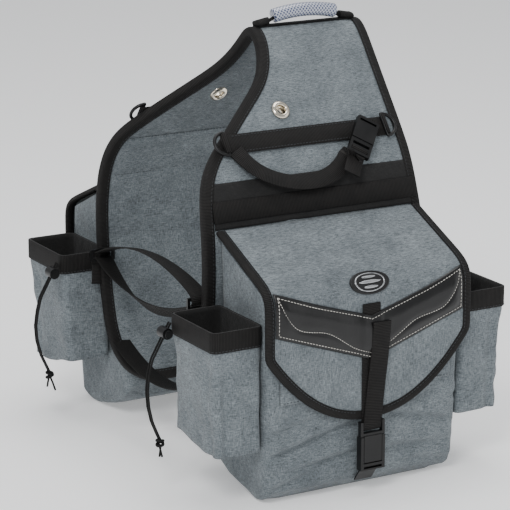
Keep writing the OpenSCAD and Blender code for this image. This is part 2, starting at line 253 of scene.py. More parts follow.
# ------------------------------------------------------------ mesh helpers
def put(name, data, mat, side=1, smooth=True, bevel=None):
    """Makes an object from (verts in mm, faces, uvs or None); side -1 mirrors it to the near half."""
    verts, faces, uvs = data
    mesh = bpy.data.meshes.new(name)
    if side < 0:
        faces = [tuple(reversed(f)) for f in faces]
    mesh.from_pydata([(v[0] * MM, v[1] * side * MM, v[2] * MM) for v in verts], [], faces)
    if uvs:
        layer = mesh.uv_layers.new(name="UVMap")
        for poly in mesh.polygons:
            for loop in poly.loop_indices:
                layer.data[loop].uv = uvs[mesh.loops[loop].vertex_index]
    mesh.validate()
    mesh.materials.append(M[mat])
    obj = bpy.data.objects.new(name, mesh)
    bpy.context.scene.collection.objects.link(obj)
    for poly in mesh.polygons:
        poly.use_smooth = smooth
    if bevel:
        mod = obj.modifiers.new("bevel", "BEVEL")
        mod.width, mod.segments, mod.limit_method = bevel * MM, 2, "ANGLE"
    return obj


def lerp(a, b, t):
    return a + (b - a) * t


def ease(t):
    t = max(0.0, min(1.0, t))
    return t * t * (3 - 2 * t)


def table(points, v):
    """Straight-line interpolation in [(key, value)], keys rising."""
    if v <= points[0][0]:
        return points[0][1]
    for (k0, v0), (k1, v1) in zip(points, points[1:]):
        if v <= k1:
            return lerp(v0, v1, (v - k0) / (k1 - k0))
    return points[-1][1]


def rounded(points, times=3):
    """Corner cutting that keeps both ends."""
    for _ in range(times):
        out = [points[0]]
        for a, b in zip(points, points[1:]):
            out += [a.lerp(b, 0.25), a.lerp(b, 0.75)]
        points = out + [points[-1]]
    return points


def resample(points, step):
    """Evenly spaced points along an open line."""
    lengths = [0.0]
    for a, b in zip(points, points[1:]):
        lengths.append(lengths[-1] + (b - a).length)
    count = max(2, round(lengths[-1] / step))
    out, i = [], 0
    for n in range(count + 1):
        want = lengths[-1] * n / count
        while i < len(points) - 2 and lengths[i + 1] < want:
            i += 1
        span = lengths[i + 1] - lengths[i] or 1.0
        out.append(points[i].lerp(points[i + 1], (want - lengths[i]) / span))
    return out


def tangent(points, i):
    """Direction of an open line at its point i."""
    return (points[min(i + 1, len(points) - 1)] - points[max(i - 1, 0)]).normalized()


def wobble(x, y, z, scale, seed=0.0):
    return noise.noise(Vector((x / scale + seed, y / scale + seed * 1.7, z / scale)))


class Skin:
    """A surface ruled along X over a [y, z] line; at() takes x, distance along, height above."""

    def __init__(self, line, zero=None):
        pts = resample(rounded([Vector(p) for p in line]), 2.0)
        self.pts = pts
        self.len = [0.0]
        for a, b in zip(pts, pts[1:]):
            self.len.append(self.len[-1] + (b - a).length)
        self.step = self.len[-1] / (len(pts) - 1)
        self.zero = 0.0
        if zero is not None:
            self.zero = self.len[min(range(len(pts)), key=lambda i: (pts[i] - Vector(zero)).length)]

    def local(self, s):
        f = max(0.0, min(len(self.pts) - 1.001, (s + self.zero) / self.step))
        i = int(f)
        p = self.pts[i].lerp(self.pts[i + 1], f - i)
        t = (self.pts[min(i + 2, len(self.pts) - 1)] - self.pts[max(i - 1, 0)]).normalized()
        return p, t

    def at(self, x, s, h=0.0):
        p, t = self.local(s)
        return Vector((x, p.x - t.y * h, p.y + t.x * h))

    def normal(self, s):
        t = self.local(s)[1]
        return Vector((0, -t.y, t.x))

    def along(self, s):
        t = self.local(s)[1]
        return Vector((0, t.x, t.y))

    def find_z(self, z):
        """Distance along at which the line last passes height z, walking towards its end."""
        for i in range(len(self.pts) - 1, 0, -1):
            a, b = self.pts[i - 1], self.pts[i]
            if b.y <= z <= a.y and a.x > 0:
                return lerp(self.len[i - 1], self.len[i], (a.y - z) / max(1e-6, a.y - b.y)) - self.zero
        return (self.len[-1] if z < self.pts[-1].y else 0.0) - self.zero


def shell(rows, cols, points):
    """Closed solid between two grids; points(i, j) gives the outer and the inner point."""
    grid = [points(i, j) for i in range(rows) for j in range(cols)]
    verts = [pair[0] for pair in grid] + [pair[1] for pair in grid]
    off, faces = rows * cols, []
    for i in range(rows - 1):
        for j in range(cols - 1):
            a = i * cols + j
            faces.append((a, a + 1, a + cols + 1, a + cols))
            faces.append((off + a, off + a + cols, off + a + cols + 1, off + a + 1))
    rim = (list(range(cols)) + [i * cols + cols - 1 for i in range(1, rows)]
           + [(rows - 1) * cols + j for j in range(cols - 2, -1, -1)]
           + [i * cols for i in range(rows - 2, 0, -1)])
    for a, b in zip(rim, rim[1:] + rim[:1]):
        faces.append((b, a, off + a, off + b))
    return verts, faces, None


def merged(parts):
    """One (verts, faces, None) from several."""
    verts, faces = [], []
    for part_verts, part_faces, _ in parts:
        faces += [tuple(i + len(verts) for i in face) for face in part_faces]
        verts += part_verts
    return verts, faces, None


def ring_quads(count, n, closed=False):
    """Faces between count rings of n points; closed joins the last ring to the first."""
    quads = []
    for i in range(count if closed else count - 1):
        for k in range(n):
            j, q = (i + 1) % count, (k + 1) % n
            quads.append((i * n + k, i * n + q, j * n + q, j * n + k))
    return quads


def sweep(points, frames, section, closed=False):
    """Section of (a, b) offsets swept along points, a and b along each frame's two vectors."""
    n, m = len(points), len(section)
    verts, uvs, run = [], [], 0.0
    around = [0.0]
    for (a0, b0), (a1, b1) in zip(section, section[1:] + section[:1]):
        around.append(around[-1] + math.hypot(a1 - a0, b1 - b0))
    for i, (p, (u, v)) in enumerate(zip(points, frames)):
        if i:
            run += (p - points[i - 1]).length
        for k, (a, b) in enumerate(section):
            verts.append(p + u * a + v * b)
            uvs.append((run * MM, around[k] * MM))
    faces = ring_quads(n, m, closed)
    if not closed:
        faces.append(tuple(range(m - 1, -1, -1)))
        faces.append(tuple(range((n - 1) * m, n * m)))
    return verts, faces, uvs


def tape_section(width, thick, edge=0.45):
    w, t = width / 2, thick / 2
    return [(-w, -t + edge), (-w + edge, -t), (w - edge, -t), (w, -t + edge),
            (w, t - edge), (w - edge, t), (-w + edge, t), (-w, t - edge)]


def tape(points, widths, width=INCH):
    """Webbing along points; widths is one direction, or one for each point."""
    if isinstance(widths, Vector):
        widths = [widths] * len(points)
    frames = []
    for i, w in enumerate(widths):
        t = tangent(points, i)
        w = (w - t * w.dot(t)).normalized()
        frames.append((w, t.cross(w)))
    return sweep(points, frames, tape_section(width, WEB_T))


def tube(points, radius, sides):
    up, frames = Vector((0.1, 0.9, 0.2)).normalized(), []
    for i in range(len(points)):
        t = tangent(points, i)
        up = (up - t * up.dot(t)).normalized()
        frames.append((up, t.cross(up)))
    ring = [(radius * math.cos(2 * math.pi * k / sides), radius * math.sin(2 * math.pi * k / sides))
            for k in range(sides)]
    return sweep(points, frames, ring)


def stitches(path, normals, pitch=5.0, length=3.4, width=0.75, height=0.45):
    """A row of thread dashes along a line of points."""
    verts, faces, gone, next_at = [], [], 0.0, pitch / 2
    for i in range(len(path) - 1):
        a, b = path[i], path[i + 1]
        seg = (b - a).length
        while gone + seg >= next_at and seg > 0:
            c = a.lerp(b, (next_at - gone) / seg)
            t, n = (b - a).normalized(), normals[i]
            w = n.cross(t).normalized()
            base = len(verts)
            for f, s in ((-0.5, 0.35), (-0.3, 1), (0.3, 1), (0.5, 0.35)):
                p = c + t * length * f
                verts += [p - w * width / 2 * s, p + n * height * s, p + w * width / 2 * s,
                          p - n * height * 0.4]
            for k in range(3):
                for q in range(4):
                    r = (q + 1) % 4
                    faces.append((base + k * 4 + q, base + k * 4 + r,
                                  base + k * 4 + 4 + r, base + k * 4 + 4 + q))
            faces += [(base + 3, base + 2, base + 1, base), (base + 12, base + 13, base + 14, base + 15)]
            next_at += pitch
        gone += seg
    return verts, faces, None


def fix_normals(obj):
    bm = bmesh.new()
    bm.from_mesh(obj.data)
    bmesh.ops.recalc_face_normals(bm, faces=bm.faces)
    bm.to_mesh(obj.data)
    bm.free()
    return obj


def metres(p, side):
    """A far-half point in millimetres as a frame point of the given half."""
    return (p.x * MM, p.y * side * MM, p.z * MM)


# ------------------------------------------------------------ base curves
HALF = [(18, 532), (30, 518.5), (60, 479), (118, 404), (130, 381), (140, 353), (147, 322),
        (150, 292), (150, 260), (147, 226), (141, 186), (131, 145), (118, 110), (103, 78), (94, 60)]
RIDGE = [(-8, 538.4), (0, 540), (8, 538.4)]
YOKE = Skin([(-y, z) for y, z in reversed(HALF)] + RIDGE + HALF, zero=(0, 540))
YOKE_END = YOKE.len[-1] - YOKE.zero
LEFT_EDGE = [(58, -105), (66, -128), (80, -146), (102, -156), (130, -160), (300, -160),
             (340, -159), (368, -155), (388, -148), (406, -135), (424, -113), (448, -82),
             (470, -53), (480, -40), (492, -28), (508, -19), (525, -14), (560, -13)]
RIGHT_EDGE = [(58, 105), (66, 128), (80, 146), (102, 154), (130, 156), (300, 155),
              (340, 151), (400, 148), (560, 148)]
FLAP = Skin([(150.5, 320), (205, 296.5), (246, 279), (257, 272.5), (264, 265), (267, 256),
             (267.5, 246), (267.5, 80)])
FLAP_T = 5.0
FLAP_HALF = 146.0


def flap_edge_z(x):
    return 98 + 92 * (abs(x) / FLAP_HALF) ** 2.2


def smoothed(values, rounds):
    """Smooths an open list and keeps both ends."""
    for _ in range(rounds):
        inside = [(a + 2 * b + c) / 4 for a, b, c in zip(values, values[1:], values[2:])]
        values = [values[0]] + inside + [values[-1]]
    return values


# the CAD's local frame on the straight slope of the far half
SLOPE = math.atan2(75, 58)
SLOPE_C, SLOPE_S = math.cos(SLOPE), math.sin(SLOPE)
DOWN = Vector((0, SLOPE_C, -SLOPE_S))
OFF_SLOPE = Vector((0, SLOPE_S, SLOPE_C))


def slope_point(x, d, h):
    """Point at x, distance d down the slope and height h off it."""
    return Vector((x, 60 + d * SLOPE_C + h * SLOPE_S, 479 - d * SLOPE_S + h * SLOPE_C))


# -------------------------------------------------------------------- yoke
EYELET_X, EYELET_D, HOLE_R = -16, 38, 0.0078
SEAMS = (198.0, 254.0)  # distances along that hold the shoulder band
BIND_W = 13.0


def yoke_edges(rows):
    """Distances along the yoke, with its left and right edge at each."""
    span = [lerp(-YOKE_END, YOKE_END, i / (rows - 1)) for i in range(rows)]
    zs = [YOKE.at(0, s).z for s in span]
    lefts, rights = (smoothed([table(edge, z) for z in zs], 6) for edge in (LEFT_EDGE, RIGHT_EDGE))
    return span, lefts, rights


def make_yoke():
    rows, cols = 221, 65
    span, lefts, rights = yoke_edges(rows)

    def points(i, j):
        s, lo, hi = span[i], lefts[i], rights[i]
        dense = 0.5 - 0.5 * math.cos(math.pi * j / (cols - 1))
        x = lerp(lo, hi, lerp(j / (cols - 1), dense, 0.5))
        puff = ease(min(x - lo, hi - x, YOKE_END - abs(s)) / 26)
        p = YOKE.at(x, s)
        soft = wobble(p.x, p.y, p.z, 60, 3.1) * 1.6 + wobble(p.x, p.y, p.z, 24, 9.2) * 0.5
        seam = sum(3.0 * math.exp(-((abs(s) - at) / 2.6) ** 2) for at in SEAMS)
        return (YOKE.at(x, s, -1.4 + puff * (1.4 + soft * 0.5)),
                YOKE.at(x, s, -8.6 - puff * (2.2 + soft) + seam * puff))

    obj = fix_normals(put("yoke", shell(rows, cols, points), "bag_fabric"))
    for sgn in (-1, 1):
        n = Vector((0, OFF_SLOPE.y * sgn, OFF_SLOPE.z))
        c = Vector(metres(slope_point(EYELET_X, EYELET_D, -5), sgn))
        bm = bmesh.new()
        bmesh.ops.create_cone(bm, cap_ends=True, segments=40, radius1=HOLE_R, radius2=HOLE_R, depth=0.05,
                              matrix=Matrix.Translation(c) @ n.to_track_quat("Z", "Y").to_matrix().to_4x4())
        drill_mesh = bpy.data.meshes.new("drill")
        bm.to_mesh(drill_mesh)
        bm.free()
        drill = bpy.data.objects.new("drill", drill_mesh)
        bpy.context.scene.collection.objects.link(drill)
        mod = obj.modifiers.new("hole", "BOOLEAN")
        mod.operation, mod.solver, mod.object = "DIFFERENCE", "EXACT", drill
        bpy.context.view_layer.update()
        done = bpy.data.meshes.new_from_object(obj.evaluated_get(bpy.context.evaluated_depsgraph_get()))
        obj.modifiers.clear()
        obj.data = done
        bpy.data.objects.remove(drill)
    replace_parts(obj, "near_panel", "far_panel", "yoke_ridge")
    return obj


def yoke_loop(inset):
    """Closed outline of the yoke as points, inward directions and normals."""
    span, lefts, rights = yoke_edges(401)
    left = [Vector((x, s)) for s, x in zip(span, lefts)]
    rightside = [Vector((x, s)) for s, x in zip(reversed(span), reversed(rights))]

    def hem(a, b, s):
        return [Vector((lerp(a.x, b.x, f / 30), s)) for f in range(1, 30)]

    ring = (left + hem(left[-1], rightside[0], YOKE_END)
            + rightside + hem(rightside[-1], left[0], -YOKE_END))
    ring = resample(ring + [ring[0]], 5.0)[:-1]
    for _ in range(4):
        ring = [(ring[i - 1] + ring[i] * 2 + ring[(i + 1) % len(ring)]) / 4 for i in range(len(ring))]
    pts, ins, nrm = [], [], []
    for i, p in enumerate(ring):
        t = (ring[(i + 1) % len(ring)] - ring[i - 1]).normalized()
        inward = Vector((t.y, -t.x))
        q = p + inward * inset
        pts.append(YOKE.at(q.x, q.y))
        ins.append((EX * inward.x + YOKE.along(q.y) * inward.y).normalized())
        nrm.append(YOKE.normal(q.y))
    return pts, ins, nrm


def make_yoke_binding():
    pts, ins, nrm = yoke_loop(0)
    w = BIND_W
    section = [(w, 0.2), (w, 1.1), (w - 1, 1.3), (3, 1.3), (0.6, 0.6), (-0.6, -1.6), (-0.9, -5),
               (-0.6, -9.4), (0.6, -11.2), (3, -11.8), (w - 1, -11.8), (w, -11.5), (w, -10.6),
               (3, -10.2), (1.2, -9), (0.8, -5), (1.2, -1.2), (3, 0.1)]
    obj = put("yoke_binding", sweep(pts, list(zip(ins, nrm)), section, closed=True), "binding")
    fix_normals(obj)
    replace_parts(obj, "near_panel_binding", "far_panel_binding")
    rows = []
    pts, _, nrm = yoke_loop(10.5)
    for height, sign in ((1.15, 1), (-11.7, -1)):
        line = [p + n * height for p, n in zip(pts, nrm)]
        rows.append(stitches(line + [line[0]], [n * sign for n in nrm] + [nrm[0] * sign], 4.6, 3.2))
    return obj, put("yoke_binding_stitches", merged(rows), "thread_dark")


def across_ridge(obj):
    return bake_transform(obj)


def inner_seams():
    rows = []
    for sgn in (-1, 1):
        for at in SEAMS:
            line = [YOKE.at(x, at * sgn, -9.3) for x in range(-140, 140, 4)]
            rows.append(stitches(line, [-YOKE.normal(at * sgn)] * len(line), 4.6, 3.2, 0.8, 0.4))
    return put("yoke_quilting", merged(rows), "thread_dark")


across_ridge(make_yoke())
across_ridge(inner_seams())
for piece in make_yoke_binding():
    across_ridge(piece)


# --------------------------------------------------------- pieces on yoke
KEEPER_D = 77
CLIP_X, CLIP_D = 66, KEEPER_D + 35
CLIP_TURN = 0.9425  # the tie-down buckle's slant, about 54 degrees


def shoulder_band(s_top, s_bot, seed):
    """Thin cloth band across the yoke, a little wavy inside its edges."""
    rows, cols = 20, 60

    def points(i, j):
        s = lerp(s_top, s_bot, i / (rows - 1))
        x = lerp(-142 - 3 * (s - s_top) / 55, 144, j / (cols - 1))
        inside = 0 < i < rows - 1 and 0 < j < cols - 1
        h = 0.9 + (wobble(x, s, 0, 22, seed) * 0.25 if inside else -0.35)
        return YOKE.at(x, s, h), YOKE.at(x, s, 0.15)

    return shell(rows, cols, points)


def make_half(half, side):
    body, seed = half + "_half", 5.0 if side < 0 else 17.0

    def ride(obj):
        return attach(obj, body)

    # keeper strap with a loop round each D-ring bar
    line = [slope_point(x, KEEPER_D, 2.2) for x in range(-104, 115, 4)]
    loops = []
    for x, s in ((-110, -1), (120, 1)):
        loops.append([slope_point(x + s * 3.5 * math.sin(a), KEEPER_D, 5.6 + 3.5 * math.cos(a))
                      for a in [math.pi * k / 12 for k in range(-2, 13)]])
    pts = loops[0] + line + list(reversed(loops[1]))
    keeper = ride(fix_normals(put(half + "_keeper_strap", tape(pts, DOWN, 26), "webbing", side)))
    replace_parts(keeper, half + "_keeper_strap")
    rows = []
    for dd in (-10.5, 10.5):
        line = [slope_point(x, KEEPER_D + dd, 3.05) for x in range(-98, 108, 3)]
        rows.append(stitches(line, [OFF_SLOPE] * len(line), 4.5, 3.0))
    ride(put(half + "_keeper_stitches", merged(rows), "thread_dark", side))

    # plated eyelet, rolled over on both faces of the yoke
    prof = [(6.0, -5), (6.0, 1.0), (6.3, 2.3), (7.2, 3.2), (8.6, 3.4), (10.2, 2.9), (11.8, 1.7), (12.5, 0.4),
            (12.3, 0.1), (8.4, 0.1), (8.3, -5)]
    prof += [(r, -10 - h) for r, h in reversed(prof[:-1])]
    n = 48
    turns = [2 * math.pi * k / n for k in range(n)]
    verts = [slope_point(EYELET_X, EYELET_D, h) + (EX * math.cos(a) + DOWN * math.sin(a)) * r
             for r, h in prof for a in turns]
    eyelet = verts, ring_quads(len(prof), n, closed=True), None
    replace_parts(ride(fix_normals(put(half + "_eyelet_ring", eyelet, "eyelet_metal", side))),
                half + "_eyelet")

    # shoulder band, with webbing along its lower edge
    s_top, s_bot = YOKE.find_z(378), YOKE.find_z(324)
    cloth = shoulder_band(s_top, s_bot, seed)
    band = ride(fix_normals(put(half + "_shoulder_band", cloth, "black_fabric", side)))
    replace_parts(band, half + "_shoulder_band")
    mid = s_bot - 8.5 - INCH / 2
    line = [YOKE.at(x, mid, 1.9) for x in range(-146, 147, 4)]
    ride(fix_normals(put(half + "_shoulder_webbing", tape(line, YOKE.along(mid)), "webbing", side)))

    # tie-down strap: hangs in a loop from the keeper to the buckle, then a short tail
    knots = [(-99, 410), (-90, 396), (-72, 381), (-42, 369), (-8, 365), (22, 370), (42, 380), (54, 392)]
    flat = resample(rounded([Vector(k) for k in knots]), 4.0)
    pts, widths = [], []
    for i, k in enumerate(flat):
        belly = math.sin(math.pi * (i / (len(flat) - 1)))
        s = YOKE.find_z(k.y)
        n, t = YOKE.normal(s), tangent(flat, i)
        along = (EX * t.x - YOKE.along(s) * t.y).normalized()
        tilt = 0.5 * belly
        pts.append(YOKE.at(k.x, s, 4.6 + 5.5 * belly))
        widths.append((n.cross(along) * math.cos(tilt) + n * math.sin(tilt)).normalized())
    clip = slope_point(CLIP_X, CLIP_D, 0)
    clip_dir = EX * math.cos(CLIP_TURN) - DOWN * math.sin(CLIP_TURN)
    clip_wide = EX * math.sin(CLIP_TURN) + DOWN * math.cos(CLIP_TURN)

    def at_clip(*profile):
        return [clip + clip_dir * d + OFF_SLOPE * h for d, h in profile]

    pts += at_clip((-7, 8.2), (-2, 9.6), (1.5, 11.5), (4.5, 12.6))
    widths += [clip_wide] * 4
    for _ in range(8):
        inside = [(a + b * 2 + c).normalized() for a, b, c in zip(widths, widths[1:], widths[2:])]
        widths = [widths[0]] + inside + [widths[-1]]
    pts, widths = rounded(pts, 1), rounded(widths, 1)
    tail = at_clip((4.5, 12.6), (6.5, 10.5), (5, 7.2), (0, 5.6), (-8, 5.2), (-18, 6.4), (-27, 7.6),
                   (-34, 9.5))
    pts += rounded(tail, 1)[1:]
    widths += [clip_wide] * (len(pts) - len(widths))
    strap = fix_normals(put(half + "_cargo_strap", tape(pts, widths, 22), "webbing", side))
    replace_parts(strap, half + "_cargo_strap")
    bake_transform(strap)
    # short stub from the female half to the ring loop
    stub = rounded(at_clip((45.8, 11.2), (46.2, 8), (49, 5.5), (53, 4.2), (58, 3.8)), 2)
    ride(fix_normals(put(half + "_cargo_stub", tape(stub, clip_wide, 21), "webbing", side)))
    make_pouch(half, side, seed, ride)
    make_flap(half, side, seed)
    make_pockets(half, side, seed, ride)


# ------------------------------------------------------------------- pouch
BACK = [(46, 106), (62, 104), (82, 108), (110, 120), (145, 133), (186, 143), (226, 149),
        (260, 152), (316, 151.5)]
FRONT = [(0, 240), (4, 249), (14, 256), (40, 259.5), (100, 261.5), (170, 261.5), (230, 260.5),
         (266, 258), (320, 256)]
BASE = [(-1, 48), (-0.85, 33), (-0.6, 23), (-0.3, 14), (0.1, 7.5), (0.5, 2.0), (0.7, 0.4),
        (0.85, 1.6), (0.95, 6), (1, 14)]
# valley creases that fan from the buckle: x0, z0, x1, z1, width, depth
FOLDS = [(-2, 97, -136, 62, 6.5, 5.0), (-4, 55, -116, 40, 5.5, 3.6), (26, 99, 124, 70, 6.0, 4.6),
         (-70, 104, -138, 92, 5.5, 3.0), (18, 50, 128, 44, 6.5, 3.2), (-60, 38, -130, 20, 6.0, 3.0),
         (70, 30, 134, 18, 6.0, 2.8), (96, 122, 138, 100, 6.0, 2.6)]


def fold_height(x, z):
    """A sharp valley with a soft ridge on its upper side."""
    total = 0.0
    for x0, z0, x1, z1, width, depth in FOLDS:
        a, b, p = Vector((x0, z0)), Vector((x1, z1)), Vector((x, z))
        ab = b - a
        t = max(0.0, min(1.0, (p - a).dot(ab) / ab.length_squared))
        d = p - (a + ab * t)
        d = math.copysign(d.length, d.y)
        fade = ease(min(t, 1 - t) * 6 + 0.25)
        ridge = 0.75 * math.exp(-((d - 1.7 * width) / width) ** 2)
        total += fade * depth * 1.5 * (ridge - math.exp(-abs(d) / width))
    return total


def ring_points(hx, hy, r, per_side, per_arc):
    pts = []
    for cx, cy, a0 in ((hx - r, hy - r, 0), (-hx + r, hy - r, 90), (-hx + r, -hy + r, 180),
                       (hx - r, -hy + r, 270)):
        for k in range(per_arc + 1):
            a = math.radians(a0 + 90 * k / per_arc)
            pts.append(Vector((cx + r * math.cos(a), cy + r * math.sin(a))))
    out = []
    for i, p in enumerate(pts):
        q = pts[(i + 1) % len(pts)]
        out.append(p)
        if (q - p).length > 3 * r * math.pi / 2 / per_arc:
            out += [p.lerp(q, k / per_side) for k in range(1, per_side)]
    return out


def loft(rings, base):
    """Open-topped shell: rings from the mouth down, then base rings to a centre."""
    n, count = len(rings[0]), len(rings) + len(base) - 1
    verts = [p for ring in rings + base[:-1] for p in ring] + [base[-1]]
    faces = [(a, d, c, b) for a, b, c, d in ring_quads(count, n)]
    last, tip = (count - 1) * n, len(verts) - 1
    faces += [(last + k, tip, last + (k + 1) % n) for k in range(n)]
    return verts, faces, None


def thicken(obj, amount):
    mod = obj.modifiers.new("wall", "SOLIDIFY")
    mod.thickness, mod.offset, mod.use_even_offset = amount * MM, -1, True
    return obj


POUCH_X, POUCH_Y = 142, 60


def make_pouch(half, side, seed, ride):
    ring = ring_points(POUCH_X, POUCH_Y, 13, 48, 4)

    def place(a, b, z, shrink=0.0):
        """Point at a across (-1 to 1), b from the back (-1) to the front (1) and height z."""
        w = lerp(136, 144, z / 330)
        yb, yf = table(BACK, z), table(FRONT, z)
        x = a * (w - shrink)
        y = lerp((yb + yf) / 2, lerp(yb, yf, (b + 1) / 2), 1 - shrink / 60)
        front = ease((b - 0.75) / 0.2)
        if front > 0 and z < 150:
            y += fold_height(x, z) * front
        y += front * 1.2 * (1 - a * a) * math.sin(math.pi * min(1, z / 200))
        soft = wobble(x, y, z, 45, seed) * 2.0 + wobble(x, y, z, 18, seed) * 0.7
        tilt = math.radians(22 if x < 0 else -20)
        u, v = x * math.cos(tilt) + z * math.sin(tilt), z * math.cos(tilt) - x * math.sin(tilt)
        crease = noise.noise(Vector((u / 80 + seed, v / 20, 4.0)))
        below, above, across = ease((128 - z) / 40), ease((z + 2) / 12), ease((142 - abs(x)) / 20)
        soft += 6.0 * (0.28 - abs(crease)) * below * above * across
        y += soft * front * (0.6 if z < 200 else 0.2)
        y = min(y, 263.4 if z > 90 else 266.5)
        if abs(a) > 0.9:
            x -= math.copysign(abs(wobble(x, y, z, 50, seed)) * 2.5, x)
        return Vector((x, y, max(0.15, z)))

    rings, levels = [], 84
    for i in range(levels):
        t = (1 - i / (levels - 1)) ** 1.12
        row = []
        for p in ring:
            a, b = p.x / POUCH_X, p.y / POUCH_Y
            top, low = lerp(316, 266, (b + 1) / 2), table(BASE, b)
            z = lerp(low, top, t)
            near_base = max(0.0, 1 - (z - low) / 14)
            row.append(place(a, b, z, 6 * (1 - math.sqrt(max(0, 1 - near_base ** 2)))))
        rings.append(row)
    base = []
    for q in (0.86, 0.66, 0.42, 0.2):
        base.append([place(p.x / POUCH_X * q, p.y / POUCH_Y * q, table(BASE, p.y / POUCH_Y * q))
                     for p in ring])
    base.append(place(0, 0, table(BASE, 0)))
    pouch = put(half + "_pouch", loft(rings, base), "bag_fabric", side)
    thicken(pouch, 2.4)
    ride(pouch)
    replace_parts(pouch, half + "_pouch")

    # slip pocket patch with its stitched lower seam
    rows, cols = 20, 62

    def patch_points(i, j):
        x, z = -122 + 4 * j, lerp(222, 130, i / (rows - 1))
        y, rim = table(FRONT, z), 0.8 if i in (0, rows - 1) else 0
        return (Vector((x, y + 3.4 + wobble(x, 0, z, 30, seed) * 0.5 - rim, z)),
                Vector((x, y + 1.4, z)))

    data = shell(rows, cols, patch_points)
    patch = ride(fix_normals(put(half + "_front_pocket", data, "bag_fabric", side)))
    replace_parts(patch, half + "_front_pocket")
    seam = [Vector((x, table(FRONT, 133) + 3.6, 133)) for x in range(-119, 120, 3)]
    ride(put(half + "_front_pocket_stitches", stitches(seam, [Vector((0, 1, 0))] * 90, 4.6, 3.2),
             "thread_dark", side))


# -------------------------------------------------------------------- flap
def flap_s(z):
    """Distance along for a height on the front; above 244 it runs on over the bend."""
    return FLAP.find_z(z) if z < 244 else FLAP.find_z(244) - (z - 244)


def flap_puff(x, s, total, seed):
    d = min(FLAP_HALF - abs(x), total - s, s + 12)
    soft = wobble(x, s, 0, 48, seed) * 1.1 + wobble(x, s, 7, 20, seed) * 0.35
    return -1.0 + ease(d / 22) * (1.0 + soft * 0.5)


